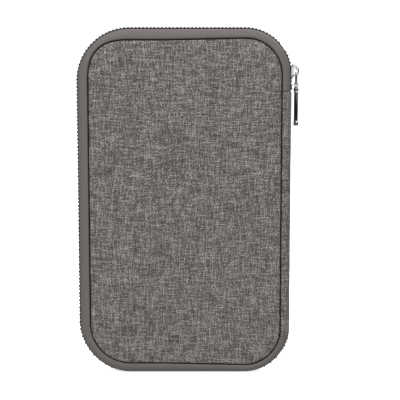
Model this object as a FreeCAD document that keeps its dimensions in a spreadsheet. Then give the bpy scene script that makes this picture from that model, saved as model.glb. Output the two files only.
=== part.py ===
import FreeCAD, Part
import math
import os
import Sketcher

# A zip-round passport and document holder, closed and standing on its lower edge.
# +Z is up, -Y is the front cover's outer face, +X is the spine.
# The case's own middle plane is at CASE_AXIS_X, so that the slider and pull
# beside the spine don't move the origin off the middle of the whole object.

Vector = FreeCAD.Vector
os.makedirs("parts", exist_ok=True)
doc = FreeCAD.newDocument("PassportHolder")
sheet = doc.addObject("Spreadsheet::Sheet", "Dims")

DIMENSIONS = (
    ("case_width", "139", "tape to tape, across"),
    ("case_height", "228", "tape to tape, up"),
    ("left_radius", "34", "outer corners away from the spine"),
    ("right_radius", "30", "outer corners beside the spine"),
    ("seam_inset", "6.15", "outline to the seam round each cover"),
    ("seam_gap", "0.9", "width of the seam's groove"),
    ("panel_depth", "9.5", "middle plane to the back of a cover's cloth"),
    ("panel_thick", "1.0", "backed outer cloth"),
    ("tape_thick", "0.6", "zip tape"),
    ("tape_leg", "11", "outline to the tape's sewn-in edge"),
    ("tape_roll", "5", "radius of the tape's roll round the edge"),
    ("tape_edge", "1.9", "middle plane to the tape's toothed edge"),
    ("foam_thick", "2.0", "cover foam"),
    ("board_thick", "1.0", "cover board"),
    ("lining_thick", "0.4", "lining cloth"),
    ("pocket_thick", "0.5", "one layer of pocket cloth"),
    ("pocket_width", "104", "pockets, across"),
    ("pocket_low", "22", "case's foot to the pockets' lower edge"),
    ("binding_height", "4", "bound edge of a pocket"),
    ("slot_step", "15", "one card slot's top above the next"),
    ("spine_low", "25.5", "lower end of the spine strip"),
    ("spine_drop", "40.4", "case's top to the spine strip's upper end"),
    ("spine_proud", "0.2", "spine cloth beyond the tape"),
    ("spine_cloth", "0.8", "spine cloth thickness"),
    ("spine_foam", "1.5", "spine foam thickness"),
    ("tooth_step", "2.45", "tooth to next tooth, front and back rows in turn"),
    ("tooth_width", "1.9", "one tooth along the chain"),
    ("tooth_proud", "1.0", "tooth crest beyond the tape"),
    ("tooth_reach", "0.7", "tooth head past the middle plane"),
    ("row_split", "1.6", "each open row's shift off the middle plane"),
    ("slider_drop", "31.4", "case's top to the slider's lower, wide end"),
    ("slider_length", "8.2", "slider along the chain"),
    ("slider_half", "4.45", "half of the slider's width"),
    ("plate_thick", "0.7", "slider plates"),
    ("cap_height", "3.5", "slider cap beyond the outer plate"),
    ("cap_half", "1.7", "half of the cap's width"),
    ("link_rise", "2.8", "slider's lower end to the link's pivot under the cap"),
    ("link_length", "7.8", "link pivot to bar pivot"),
    ("link_gauge", "1.1", "link's wire, across"),
    ("link_half", "2.6", "link's middle to its side wires"),
    ("link_bend", "1.0", "radius of the link's upper bends"),
    ("pull_radius", "1.3", "black bar of the pull"),
    ("pull_length", "34.7", "link's pivot to the pull's lower end"),
    ("pull_out", "3.6", "pull's axis beyond the tape"),
)
for row, (alias, value, note) in enumerate(DIMENSIONS, start=1):
    sheet.set("A%d" % row, note)
    sheet.set("B%d" % row, value)
    sheet.setAlias("B%d" % row, alias)
doc.recompute()


def number(expression):
    """The value of an expression over the sheet."""
    return float(sheet.evalExpression(str(expression)))


# Lines that several pieces share, as expressions over the sheet.
SPINE_HIGH = "(Dims.case_height - Dims.spine_drop)"
SLIDER_LOW = "(Dims.case_height - Dims.slider_drop)"
LINK_PIVOT_Z = "(Dims.case_height - Dims.slider_drop + Dims.link_rise)"
PULL_LOW = "(Dims.case_height - Dims.slider_drop + Dims.link_rise - Dims.pull_length)"
HALF = "Dims.case_width / 2"
PANEL_EDGE = "(Dims.seam_inset + Dims.seam_gap / 2)"
FOLD_X = "(Dims.case_width / 2 - Dims.seam_inset)"
COVER_END = "(Dims.case_width / 2 - Dims.seam_inset - Dims.seam_gap / 2)"
SPINE_START = "(Dims.case_width / 2 - Dims.seam_inset + Dims.seam_gap / 2)"
FOAM_BACK = "(Dims.panel_depth - Dims.tape_thick)"
BOARD_BACK = "(Dims.panel_depth - Dims.tape_thick - Dims.foam_thick)"
LINING_BACK = "(Dims.panel_depth - Dims.tape_thick - Dims.foam_thick - Dims.board_thick)"
POCKET_BACK = "(Dims.panel_depth - Dims.tape_thick - Dims.foam_thick - Dims.board_thick - Dims.lining_thick)"
ROLL_Y = "(Dims.panel_depth - Dims.tape_roll)"
ROLL_X = "(Dims.case_width / 2 - Dims.tape_roll)"
SPINE_OUT = "(Dims.case_width / 2 + Dims.spine_proud)"
END_GAP = 0.3
PLATE_X = "(Dims.case_width / 2 + Dims.tooth_proud + 0.2)"
PLATE_TOP = "(Dims.case_width / 2 + Dims.tooth_proud + 0.2 + Dims.plate_thick)"
INNER_TOP = "(Dims.case_width / 2 - 1.8)"
PULL_X = "(Dims.case_width / 2 + Dims.pull_out)"
BAR_PIVOT_Z = "(Dims.case_height - Dims.slider_drop + Dims.link_rise - Dims.link_length)"
RIGHT_REACH = "(Dims.case_width / 2 + Dims.tooth_proud + 0.2 + Dims.plate_thick + Dims.cap_height)"
CASE_AXIS_X = "(-(%s - %s - Dims.tooth_proud) / 2)" % (RIGHT_REACH, HALF)


def new_body(label, axis_x="0"):
    """A piece drawn round the case's middle plane, or round an axis beside it."""
    body = doc.addObject("PartDesign::Body", label)
    body.Label = label
    body.setExpression("Placement.Base.x", "%s + %s" % (CASE_AXIS_X, axis_x))
    return body


def new_sketch(body, plane, offset="0"):
    """A sketch on one of the body's own planes, moved along that plane's normal."""
    support = [f for f in body.Origin.OriginFeatures if f.Role == plane][0]
    sketch = body.newObject("Sketcher::SketchObject", body.Label + "_sketch")
    sketch.AttachmentSupport = [(support, "")]
    sketch.MapMode = "FlatFace"
    sketch.setExpression("AttachmentOffset.Base.z", offset)
    return sketch


def draw(sketch, corners, closed=True):
    """Draw corner to corner. Each corner is (x, y) or (x, y, centre x, centre y, turn):
    the last three bend the edge that leaves it round a centre, turn 1 anticlockwise."""
    count = len(corners)
    edges = []
    for i in range(count if closed else count - 1):
        start = corners[i]
        finish = corners[(i + 1) % count]
        a = Vector(number(start[0]), number(start[1]), 0)
        b = Vector(number(finish[0]), number(finish[1]), 0)
        if len(start) == 2:
            edges.append((sketch.addGeometry(Part.LineSegment(a, b)), 1, 2))
            continue
        centre = Vector(number(start[2]), number(start[3]), 0)
        circle = Part.Circle(centre, Vector(0, 0, 1), (a - centre).Length)
        first = math.atan2(a.y - centre.y, a.x - centre.x)
        last = math.atan2(b.y - centre.y, b.x - centre.x)
        if start[4] > 0:
            edges.append((sketch.addGeometry(Part.ArcOfCircle(circle, first, last)), 1, 2))
        else:
            edges.append((sketch.addGeometry(Part.ArcOfCircle(circle, last, first)), 2, 1))
    for i, (edge, begin, end) in enumerate(edges):
        if closed or i > 0:
            before = edges[i - 1]
            sketch.addConstraint(Sketcher.Constraint("Coincident", before[0], before[2], edge, begin))
        pin(sketch, edge, begin, corners[i])
        if len(corners[i]) > 2:
            across = "(%s) - (%s)" % (corners[i][0], corners[i][2])
            along = "(%s) - (%s)" % (corners[i][1], corners[i][3])
            radius = math.hypot(number(across), number(along))
            index = sketch.addConstraint(Sketcher.Constraint("Radius", edge, radius))
            sketch.setExpression("Constraints[%d]" % index, "hypot(%s; %s)" % (across, along))
    if not closed:
        pin(sketch, edges[-1][0], edges[-1][2], corners[-1])


def pin(sketch, edge, point, corner):
    """Hold one end of an edge at a corner's two expressions."""
    for kind, place in (("DistanceX", corner[0]), ("DistanceY", corner[1])):
        index = sketch.addConstraint(Sketcher.Constraint(kind, -1, 1, edge, point, number(place)))
        sketch.setExpression("Constraints[%d]" % index, str(place))


def rectangle(x_low, y_low, x_high, y_high):
    return [(x_low, y_low), (x_high, y_low), (x_high, y_high), (x_low, y_high)]


def rounded(x_low, y_low, x_high, y_high, left, right):
    """A rectangle with one radius on its left corners and one on its right."""
    x0, x1 = "(%s) + (%s)" % (x_low, left), "(%s) - (%s)" % (x_high, right)
    y0l, y1l = "(%s) + (%s)" % (y_low, left), "(%s) - (%s)" % (y_high, left)
    y0r, y1r = "(%s) + (%s)" % (y_low, right), "(%s) - (%s)" % (y_high, right)
    return [
        (x0, y_low),
        (x1, y_low, x1, y0r, 1),
        (x_high, y0r),
        (x_high, y1r, x1, y1r, 1),
        (x1, y_high),
        (x0, y_high, x0, y1l, 1),
        (x_low, y1l),
        (x_low, y0l, x0, y0l, 1),
    ]


def cover_outline(inset):
    """The case's outline, moved in by an inset."""
    return rounded(
        "-(%s - %s)" % (HALF, inset), inset,
        "%s - %s" % (HALF, inset), "Dims.case_height - %s" % inset,
        "Dims.left_radius - %s" % inset, "Dims.right_radius - %s" % inset,
    )


def pad(body, sketch, length, reverse=False):
    feature = body.newObject("PartDesign::Pad", body.Label + "_pad")
    feature.Profile = sketch
    feature.Reversed = reverse
    feature.setExpression("Length", length)
    sketch.Visibility = False
    body.Tip = feature
    return feature


def pocket(body, sketch, length, reverse=False):
    feature = body.newObject("PartDesign::Pocket", body.Label + "_pocket")
    feature.Profile = sketch
    feature.Reversed = reverse
    feature.setExpression("Length", length)
    sketch.Visibility = False
    body.Tip = feature
    return feature


def revolve(body, sketch, axis):
    feature = body.newObject("PartDesign::Revolution", body.Label + "_turn")
    feature.Profile = sketch
    feature.ReferenceAxis = (sketch, [axis])
    feature.Angle = 360
    body.Tip = feature
    return feature


def cover_layer(label, side, depth, thick, outline):
    """A flat layer of one cover. side is 1 at the front and -1 at the back;
    depth is its inner face's distance from the middle plane."""
    body = new_body(label)
    sketch = new_sketch(body, "XZ_Plane", "%d * (%s)" % (side, depth))
    draw(sketch, outline)
    pad(body, sketch, thick, reverse=side < 0)
    return body


def make_cover(name, side):
    """One cover, from its outer cloth in to its lining."""
    cover_layer(name + "_panel", side, "Dims.panel_depth", "Dims.panel_thick", cover_outline(PANEL_EDGE))
    foam_edge = "(%s + 0.5)" % PANEL_EDGE
    foam = cover_layer(name + "_foam", side, BOARD_BACK, "Dims.foam_thick", cover_outline(foam_edge))
    # The foam is thicker inside the tape's sewn-in edge.
    step = new_sketch(foam, "XZ_Plane", "%d * %s" % (side, FOAM_BACK))
    draw(step, cover_outline("(Dims.tape_leg + 0.2)"))
    pad(foam, step, "Dims.tape_thick", reverse=side < 0)
    cover_layer(name + "_board", side, LINING_BACK, "Dims.board_thick", cover_outline(foam_edge))
    cover_layer(name + "_lining", side, POCKET_BACK, "Dims.lining_thick", cover_outline(foam_edge))


def tape_section(side, start_x):
    """Tape in section: a leg sewn under the cover, a roll round the edge and a flat toothed edge."""
    y = lambda text: "%d * (%s)" % (-side, text)
    turn = side
    inner_roll = "(%s)" % ROLL_X
    return [
        (start_x, y("Dims.panel_depth")),
        (inner_roll, y("Dims.panel_depth"), inner_roll, y(ROLL_Y), turn),
        (HALF, y(ROLL_Y)),
        (HALF, y("Dims.tape_edge")),
        (HALF + " - Dims.tape_thick", y("Dims.tape_edge")),
        (HALF + " - Dims.tape_thick", y(ROLL_Y), inner_roll, y(ROLL_Y), -turn),
        (inner_roll, y(FOAM_BACK)),
        (start_x, y(FOAM_BACK)),
    ]


def chain_path():
    """The case's outline from the spine's upper end, over the top, down and back to its lower end."""
    left, low, right, high = "-" + HALF, "0", HALF, "Dims.case_height"
    xl, xr = "-%s + Dims.left_radius" % HALF, "%s - Dims.right_radius" % HALF
    return [
        (right, SPINE_HIGH + " + %g" % END_GAP),
        (right, "Dims.case_height - Dims.right_radius", xr, "Dims.case_height - Dims.right_radius", 1),
        (xr, high),
        (xl, high, xl, "Dims.case_height - Dims.left_radius", 1),
        (left, "Dims.case_height - Dims.left_radius"),
        (left, "Dims.left_radius", xl, "Dims.left_radius", 1),
        (xl, low),
        (xr, low, xr, "Dims.right_radius", 1),
        (right, "Dims.right_radius"),
    ]


def lower_corner_path():
    """The corner below the spine, from its top end down to the case's foot."""
    xr = "%s - Dims.right_radius" % HALF
    return [
        (HALF, "Dims.right_radius", xr, "Dims.right_radius", -1),
        (xr, "0"),
    ]


def swept_tape(label, side, path, start_x):
    """Tape swept along a path that starts on the spine side, running up or down."""
    body = new_body(label)
    line = new_sketch(body, "XZ_Plane")
    draw(line, path, closed=False)
    start_z = path[0][1]
    section = new_sketch(body, "XY_Plane", start_z)
    draw(section, tape_section(side, start_x))
    sweep = body.newObject("PartDesign::AdditivePipe", label + "_sweep")
    sweep.Profile = section
    sweep.Spine = (line, [])
    line.Visibility = False
    section.Visibility = False
    body.Tip = sweep
    return body


def make_tape(name, side):
    """The cover's tape: all of it up to the fold line at the spine."""
    body = swept_tape(name + "_tape", side, chain_path(), HALF + " - Dims.tape_leg")
    cut = new_sketch(body, "XY_Plane", "-10")
    draw(cut, rectangle(COVER_END, "-20", HALF + " + 10", "20"))
    pocket(body, cut, "Dims.case_height + 20", reverse=True)


def make_upper_tape_end(name, side):
    """Tape past the fold line above the spine, its toothed edge parted below the slider."""
    label = name + "_tape_upper_end"
    body = swept_tape(label, side, chain_path()[0:3], SPINE_START)
    cut = new_sketch(body, "XY_Plane", SPINE_HIGH + " - 10")
    draw(cut, rectangle("0", "-20", SPINE_START, "20"))
    pocket(body, cut, "Dims.case_height", reverse=True)
    parted = "%d * (Dims.tape_edge + Dims.row_split)" % -side
    closed_edge = "%d * Dims.tape_edge" % -side
    notch = new_sketch(body, "YZ_Plane", HALF + " + 5")
    notch_corners = [
        ("0", SPINE_HIGH + " - 5"),
        (parted, SPINE_HIGH + " - 5"),
        (parted, SLIDER_LOW + " + 2.3"),
        (closed_edge, SLIDER_LOW + " + 6.4"),
        ("0", SLIDER_LOW + " + 6.4"),
    ]
    if side < 0:
        draw(notch, notch_corners)
    else:
        draw(notch, notch_corners[::-1])
    pocket(body, notch, "20")


def make_lower_tape_end(name, side):
    """Tape past the fold line below the spine, from the strip's lower end round the corner."""
    body = swept_tape(name + "_tape_lower_end", side, lower_corner_path(), SPINE_START)
    cut = new_sketch(body, "XY_Plane", "-10")
    draw(cut, rectangle("0", "-20", SPINE_START, "20"))
    pocket(body, cut, "Dims.case_height", reverse=True)
    above = new_sketch(body, "XY_Plane", "Dims.spine_low - %g" % END_GAP)
    draw(above, rectangle("0", "-20", HALF + " + 10", "20"))
    pocket(body, above, "40", reverse=True)


def make_spine():
    """The spine strip between the covers: cloth, foam and lining, each a channel."""
    def channel(label, reach, edge_x, half_depth, thick):
        body = new_body(label)
        sketch = new_sketch(body, "XY_Plane", "Dims.spine_low")
        roll_x = "((%s) - ((%s) - %s))" % (reach, half_depth, ROLL_Y)
        inner = "(%s) - (%s)" % (reach, thick)
        inner_depth = "(%s) - (%s)" % (half_depth, thick)
        draw(sketch, [
            (edge_x, "-(%s)" % half_depth),
            (roll_x, "-(%s)" % half_depth, roll_x, "-%s" % ROLL_Y, 1),
            (reach, "-%s" % ROLL_Y),
            (reach, ROLL_Y, roll_x, ROLL_Y, 1),
            (roll_x, half_depth),
            (edge_x, half_depth),
            (edge_x, inner_depth),
            (roll_x, inner_depth, roll_x, ROLL_Y, -1),
            (inner, ROLL_Y),
            (inner, "-%s" % ROLL_Y, roll_x, "-%s" % ROLL_Y, -1),
            (roll_x, "-(%s)" % inner_depth),
            (edge_x, "-(%s)" % inner_depth),
        ])
        pad(body, sketch, SPINE_HIGH + " - Dims.spine_low")

    cloth_depth = "(Dims.panel_depth + Dims.seam_gap / 2)"
    channel("spine_cloth", SPINE_OUT, SPINE_START, cloth_depth, "Dims.spine_cloth")
    foam_out = "(%s - Dims.spine_cloth)" % SPINE_OUT
    foam_depth = "(%s - Dims.spine_cloth)" % cloth_depth
    channel("spine_foam", foam_out, SPINE_START, foam_depth, "Dims.spine_foam")
    lining_out = "(%s - Dims.spine_foam)" % foam_out
    lining_depth = "(%s - Dims.spine_foam)" % foam_depth
    channel("spine_lining", lining_out, SPINE_START, lining_depth, "Dims.lining_thick")


def make_pocket_panel(label, side, layers, width, z_low, z_high):
    """A flat pocket front inside a cover, some layers in from the lining."""
    depth = "(%s - %g * Dims.pocket_thick)" % (POCKET_BACK, layers)
    outline = rounded("-(%s) / 2" % width, z_low, "(%s) / 2" % width, z_high, "2", "2")
    cover_layer(label, side, depth, "Dims.pocket_thick", outline)


def make_binding(label, side, layers, width, z_top):
    """The bound upper edge of a pocket front: a folded strip lying on it."""
    outline = rectangle("-(%s) / 2" % width, z_top + " - Dims.binding_height", "(%s) / 2" % width, z_top)
    depth = "(%s - %g * Dims.pocket_thick)" % (POCKET_BACK, layers)
    cover_layer(label, side, depth, "Dims.pocket_thick / 2", outline)


def make_pockets():
    """Inside: two pockets in the front cover, a ticket pocket and four stepped card slots in the back."""
    pocket_low = "Dims.pocket_low"
    document_top = "Dims.case_height - 36"
    passport_top = "Dims.case_height - 78"
    document_width = "Dims.pocket_width"
    passport_width = "Dims.pocket_width - 6"
    make_pocket_panel("document_pocket", 1, 1, document_width, pocket_low, document_top)
    make_binding("document_pocket_binding", 1, 1.5, document_width, document_top)
    make_pocket_panel("passport_pocket", 1, 2, passport_width, pocket_low, passport_top)
    make_binding("passport_pocket_binding", 1, 2.5, passport_width, passport_top)
    ticket_top = "Dims.case_height - 32"
    make_pocket_panel("ticket_pocket", -1, 1, document_width, pocket_low, ticket_top)
    make_binding("ticket_pocket_binding", -1, 1.5, document_width, ticket_top)
    slot_count = 4
    slot_low = pocket_low + " + 2"
    slot_width = "Dims.pocket_width - 10"
    for i in range(slot_count):
        slot_top = "%s + 58 + %d * Dims.slot_step" % (pocket_low, slot_count - 1 - i)
        make_pocket_panel("card_slot_%d" % (i + 1), -1, 2 + i, slot_width, slot_low, slot_top)


def chain_points():
    """Every tooth's seat on the case's outline, from above the spine, over the top, down
    and back to below the spine: (x, z, tangent x, tangent z, outward x, outward z)."""
    half = number(HALF)
    height = number("Dims.case_height")
    left = number("Dims.left_radius")
    right = number("Dims.right_radius")
    stop_room = 3.6
    first_z = number(SPINE_HIGH) + stop_room
    last_z = number("Dims.spine_low") - stop_room
    last_turn = math.acos((right - last_z) / right)
    runs = (
        ("line", half, first_z, 90, height - right - first_z),
        ("arc", half - right, height - right, 0, right, math.pi / 2),
        ("line", half - right, height, 180, 2 * half - left - right),
        ("arc", left - half, height - left, 90, left, math.pi / 2),
        ("line", -half, height - left, 270, height - 2 * left),
        ("arc", left - half, left, 180, left, math.pi / 2),
        ("line", left - half, 0, 0, 2 * half - left - right),
        ("arc", half - right, right, 270, right, last_turn),
    )
    lengths = [run[4] * (run[5] if run[0] == "arc" else 1) for run in runs]
    count = int(sum(lengths) / number("Dims.tooth_step"))
    step = sum(lengths) / count
    seats = []
    for i in range(count + 1):
        along = min(i * step, sum(lengths) - 1e-6)
        for run, length in zip(runs, lengths):
            if along <= length:
                break
            along -= length
        if run[0] == "line":
            heading = math.radians(run[3])
            x = run[1] + along * math.cos(heading)
            z = run[2] + along * math.sin(heading)
        else:
            angle = math.radians(run[3]) + along / run[4]
            heading = angle + math.pi / 2
            x = run[1] + run[4] * math.cos(angle)
            z = run[2] + run[4] * math.sin(angle)
        tangent = (math.cos(heading), math.sin(heading))
        seats.append((x, z, tangent[0], tangent[1], tangent[1], -tangent[0]))
    return seats


def row_shift(z):
    """How far a row stands off the middle plane at a height on the spine side:
    meshed above the slider's throat, parted below it."""
    parted_z = number(SLIDER_LOW) + 2.3
    meshed_z = number(SLIDER_LOW) + 6.4
    share = (meshed_z - z) / (meshed_z - parted_z)
    return number("Dims.row_split") * min(1, max(0, share))


def tooth(seat, side, y_edge, y_head):
    """One moulded tooth: a block with a crest that narrows outward, standing on the chain's line."""
    x, z, along_x, along_z, out_x, out_z = seat
    wide = number("Dims.tooth_width") / 2
    proud = number("Dims.tooth_proud")
    root = -number("Dims.tape_thick")
    crest_share = 0.35
    # Along the foot the chain is pressed in flush with the tape that the case stands on.
    foot_rise = 2.0
    push = proud * max(0, 1 - z / foot_rise)
    profile = (
        (-wide, root), (wide, root), (wide, 0.2 * proud), (crest_share * wide, proud),
        (-crest_share * wide, proud), (-wide, 0.2 * proud),
    )
    corners = []
    for along, out in profile:
        out -= push
        corners.append(Vector(x + along * along_x + out * out_x, -side * y_edge, z + along * along_z + out * out_z))
    face = Part.Face(Part.makePolygon(corners + corners[:1]))
    return face.extrude(Vector(0, side * (y_edge + y_head), 0))


def make_teeth():
    """The two rows of teeth, each split into the part on a cover and the parts on the spine."""
    fold = number(FOLD_X)
    wide = number("Dims.tooth_width") / 2
    edge = number("Dims.tape_edge")
    reach = number("Dims.tooth_reach")
    middle_z = number("Dims.case_height") / 2
    # Beside the fold the heads stop short of the middle plane, so the rows can't bind there.
    short_reach = -0.15
    short_span = 9
    fold_room = 0.6
    groups = {}
    for i, seat in enumerate(chain_points()):
        side, row = ((1, "front"), (-1, "back"))[i % 2]
        x, z, along_x = seat[0], seat[1], abs(seat[2])
        low_x = x - (wide + 0.1) * along_x
        high_x = x + (wide + 0.1) * along_x
        if high_x < fold - fold_room:
            node = row + "_teeth"
            shift = 0
        elif low_x > fold + fold_room:
            upper = z > middle_z
            node = row + ("_teeth_upper_end" if upper else "_teeth_lower_end")
            shift = row_shift(z) if upper else 0
        else:
            continue
        head = short_reach if abs(x - fold) < short_span and node.endswith("teeth") else reach
        # Where the rows part, the tape's edge slants, and a tooth stops short of its nearest point.
        seat_edge = edge + (row_shift(z + wide + 0.05) if shift else 0)
        groups.setdefault(node, []).append(tooth(seat, side, seat_edge, head - shift))
    for node, teeth in groups.items():
        row = doc.addObject("Part::Feature", node)
        row.Label = node
        row.Shape = Part.makeCompound(teeth)
        row.Placement = FreeCAD.Placement(Vector(number(CASE_AXIS_X), 0, 0), FreeCAD.Rotation())


def make_end_stops():
    """The stops that close the chain: one bridges the parted rows above the spine, one ends them below."""
    upper = new_body("upper_end_stop")
    sketch = new_sketch(upper, "XY_Plane", SPINE_HIGH + " + 0.8")
    parted = "(Dims.tape_edge + Dims.row_split - 0.05)"
    draw(sketch, rectangle(HALF + " - 1.0", "-" + parted, HALF + " + 0.8", parted))
    pad(upper, sketch, "1.7")
    lower = new_body("lower_end_stop")
    sketch = new_sketch(lower, "XY_Plane", "Dims.spine_low - 2.4")
    draw(sketch, rectangle(HALF + " - 1.4", "-Dims.tape_edge + 0.05", HALF, "Dims.tape_edge - 0.05"))
    pad(lower, sketch, "1.7")


def make_slider():
    """The slider: two plates joined by the post that parts the rows, with flanges round the tape."""
    body = new_body("slider_body")
    low = SLIDER_LOW
    high = "(%s + Dims.slider_length)" % SLIDER_LOW
    half = "Dims.slider_half"
    plate = rounded("-" + half, low, half, high, "1.4", "1.4")
    outer = new_sketch(body, "YZ_Plane", PLATE_X)
    draw(outer, plate)
    pad(body, outer, "Dims.plate_thick")
    post = new_sketch(body, "YZ_Plane", INNER_TOP)
    draw(post, rectangle("-0.6", low + " + 0.2", "0.6", low + " + 1.8"))
    pad(body, post, "%s - %s" % (PLATE_X, INNER_TOP))
    inner = new_sketch(body, "YZ_Plane", INNER_TOP + " - Dims.plate_thick")
    draw(inner, plate)
    pad(body, inner, "Dims.plate_thick")
    flange_thick = "Dims.plate_thick"
    tape_slot_top = HALF + " + 0.15"
    tape_slot_bottom = "(%s + 0.25)" % INNER_TOP
    for edge_low, edge_high in (("-" + half, "-%s + %s" % (half, flange_thick)), ("%s - %s" % (half, flange_thick), half)):
        outer_flange = new_sketch(body, "YZ_Plane", tape_slot_top)
        draw(outer_flange, rectangle(edge_low, low + " + 1.4", edge_high, high + " - 1.4"))
        pad(body, outer_flange, "%s - (%s)" % (PLATE_X, tape_slot_top))
        inner_flange = new_sketch(body, "YZ_Plane", INNER_TOP)
        draw(inner_flange, rectangle(edge_low, low + " + 1.4", edge_high, high + " - 1.4"))
        pad(body, inner_flange, "%s - %s" % (tape_slot_bottom, INNER_TOP))


def make_slider_cap():
    """The arched cap over the slider, which holds the link and hides the lock."""
    body = new_body("slider_cap")
    wall = 0.8
    bend = 2.4
    low = "(%s + 0.8)" % SLIDER_LOW
    high = "(%s + Dims.slider_length - 0.6)" % SLIDER_LOW
    top = "(%s + Dims.cap_height)" % PLATE_TOP
    base = PLATE_TOP
    bend_x = "(%s - %g)" % (top, bend)
    sketch = new_sketch(body, "XZ_Plane", "Dims.cap_half")
    draw(sketch, [
        (base, low),
        (bend_x, low, bend_x, "%s + %g" % (low, bend), 1),
        (top, "%s + %g" % (low, bend)),
        (top, "%s - %g" % (high, bend), bend_x, "%s - %g" % (high, bend), 1),
        (bend_x, high),
        (base, high),
        (base, "%s - %g" % (high, wall)),
        (bend_x, "%s - %g" % (high, wall), bend_x, "%s - %g" % (high, bend), -1),
        ("%s - %g" % (top, wall), "%s - %g" % (high, bend)),
        ("%s - %g" % (top, wall), "%s + %g" % (low, bend), bend_x, "%s + %g" % (low, bend), -1),
        (bend_x, "%s + %g" % (low, wall)),
        (base, "%s + %g" % (low, wall)),
    ])
    pad(body, sketch, "2 * Dims.cap_half", reverse=True)


def make_lock_spring():
    """The bent strip under the cap whose toe drops through the slider to lock it."""
    body = new_body("lock_spring")
    sketch = new_sketch(body, "XZ_Plane", "0.5")
    z_top = "(%s + Dims.slider_length - 2.1)" % SLIDER_LOW
    draw(sketch, [
        (PLATE_TOP, z_top + " - 0.5"),
        (PLATE_TOP + " + 1.8", z_top + " - 0.5"),
        (PLATE_TOP + " + 1.8", z_top + " - 1.8"),
        (PLATE_TOP + " + 2.2", z_top + " - 1.8"),
        (PLATE_TOP + " + 2.2", z_top),
        (PLATE_TOP, z_top),
    ])
    pad(body, sketch, "1.0", reverse=True)


def make_pull_link():
    """The wire link between the slider and the pull: a long ring hung on its top bar."""
    body = new_body("pull_link", PULL_X)
    half = "Dims.link_half"
    top = LINK_PIVOT_Z
    bend = "Dims.link_bend"
    foot_centre = "(%s + Dims.link_half)" % BAR_PIVOT_Z
    line = new_sketch(body, "YZ_Plane")
    draw(line, [
        ("0", top),
        ("-%s + %s" % (half, bend), top, "-%s + %s" % (half, bend), "%s - %s" % (top, bend), 1),
        ("-" + half, "%s - %s" % (top, bend)),
        ("-" + half, foot_centre, "0", foot_centre, 1),
        ("0", BAR_PIVOT_Z, "0", foot_centre, 1),
        (half, foot_centre),
        (half, "%s - %s" % (top, bend), "%s - %s" % (half, bend), "%s - %s" % (top, bend), 1),
        ("%s - %s" % (half, bend), top),
    ])
    wire = new_sketch(body, "XZ_Plane")
    ring(wire, "Dims.link_gauge / 2", top)
    sweep = body.newObject("PartDesign::AdditivePipe", "pull_link_sweep")
    sweep.Profile = wire
    sweep.Spine = (line, [])
    body.Tip = sweep


def make_pull_head():
    """The pull's metal head: an eye on the link's foot, a bead and a collar, turned in one."""
    body = new_body("pull_head", PULL_X)
    bead_z = "(%s - 3.0)" % BAR_PIVOT_Z
    collar_low = "(%s - 5.6)" % BAR_PIVOT_Z
    turned = new_sketch(body, "XZ_Plane")
    draw(turned, [
        ("0", collar_low),
        ("Dims.pull_radius + 0.2", collar_low),
        ("Dims.pull_radius + 0.2", collar_low + " + 1.2"),
        ("1.1", collar_low + " + 1.3", "0", bead_z, 1),
        ("1.0", bead_z + " + 1.38"),
        ("0.5", bead_z + " + 1.6"),
        ("0.5", bead_z + " + 2.0"),
        ("0", bead_z + " + 2.0"),
    ])
    revolve(body, turned, "V_Axis")
    eye = new_sketch(body, "XZ_Plane", "0.5")
    ring(eye, "1.6", BAR_PIVOT_Z)
    pad(body, eye, "1.0", reverse=True)
    hole = new_sketch(body, "XZ_Plane", "1.0")
    ring(hole, "0.95", BAR_PIVOT_Z)
    pocket(body, hole, "2.0")


def ring(sketch, radius, height):
    """A circle on the sketch's upright axis."""
    centre = Vector(0, number(height), 0)
    edge = sketch.addGeometry(Part.Circle(centre, Vector(0, 0, 1), number(radius)))
    pin(sketch, edge, 3, ("0", height))
    index = sketch.addConstraint(Sketcher.Constraint("Radius", edge, number(radius)))
    sketch.setExpression("Constraints[%d]" % index, radius)


def make_pull_bar():
    """The slim black bar and the metal cap on its lower end."""
    cap_height = 3.2
    join_z = "(%s + %g)" % (PULL_LOW, cap_height)
    collar_low = "(%s - 5.6)" % BAR_PIVOT_Z
    bar = new_body("pull_bar", PULL_X)
    sketch = new_sketch(bar, "XZ_Plane")
    draw(sketch, rectangle("0", join_z, "Dims.pull_radius", collar_low))
    revolve(bar, sketch, "V_Axis")
    cap = new_body("pull_end_cap", PULL_X)
    reach = "(Dims.pull_radius + 0.25)"
    sketch = new_sketch(cap, "XZ_Plane")
    draw(sketch, [
        ("0", PULL_LOW),
        (reach + " - 0.7", PULL_LOW, reach + " - 0.7", PULL_LOW + " + 0.7", 1),
        (reach, PULL_LOW + " + 0.7"),
        (reach, join_z + " - 0.3"),
        (reach + " - 0.3", join_z),
        ("0", join_z),
    ])
    revolve(cap, sketch, "V_Axis")


for cover_name, cover_side in (("front", 1), ("back", -1)):
    make_cover(cover_name, cover_side)
    make_tape(cover_name, cover_side)
    make_upper_tape_end(cover_name, cover_side)
    make_lower_tape_end(cover_name, cover_side)
make_spine()
make_pockets()
make_teeth()
make_end_stops()
make_slider()
make_slider_cap()
make_lock_spring()
make_pull_link()
make_pull_head()
make_pull_bar()
doc.recompute()

pieces = [item for item in doc.Objects if item.TypeId in ("PartDesign::Body", "Part::Feature")]
for item in doc.Objects:
    if "Invalid" in item.State or "Error" in item.State:
        raise RuntimeError("not computed: " + item.Label)
for piece in pieces:
    if piece.Shape.isNull() or not piece.Shape.isValid() or not piece.Shape.Solids:
        raise RuntimeError("no valid solid: " + piece.Label)
for piece in pieces:
    piece.Shape.exportStep("parts/%s.step" % piece.Label)
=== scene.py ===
import math

import bmesh
import bpy
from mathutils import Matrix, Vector, noise


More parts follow.
